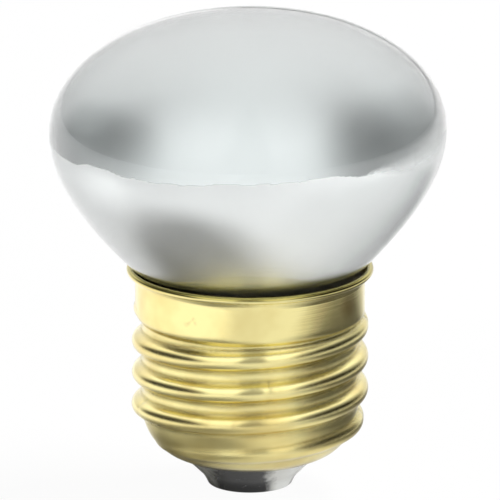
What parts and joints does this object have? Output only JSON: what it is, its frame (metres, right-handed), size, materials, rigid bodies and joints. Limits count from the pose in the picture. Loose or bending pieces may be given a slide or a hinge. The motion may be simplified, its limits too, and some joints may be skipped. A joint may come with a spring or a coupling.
{
  "type": "reflector lamp bulb",
  "caption": "Small mushroom-shaped reflector lamp bulb with a frosted face, a mirrored bowl and a rolled brass screw cap with a black glass insulator.",
  "frame": {"origin": "lowest point of the solder tip, on the axis of the screw cap", "axes": "+Z along the cap's axis from the centre contact towards the frosted face; the glass leans 1 degree towards -X; -Y faces the picture's camera"},
  "size_m": [0.0438, 0.0438, 0.0541],
  "materials": {
    "lamp_glass": "blown soda-lime glass, frosted inside over the face and silvered inside over the bowl",
    "brass_shell": "rolled thin sheet brass, bright with light stains",
    "black_glass": "moulded black glass, glossy",
    "contact_brass": "drawn brass eyelet",
    "solder": "dull tin solder bead",
    "cement": "baked basing cement",
    "nickel_wire": "drawn nickel-plated wire"
  },
  "bodies": {
    "root": {"glass_bulb": "lamp_glass", "screw_shell": "brass_shell", "insulator": "black_glass", "centre_contact": "contact_brass", "solder_tip": "solder", "basing_cement": "cement", "centre_lead": "nickel_wire", "side_lead": "nickel_wire"}
  },
  "joints": []
}
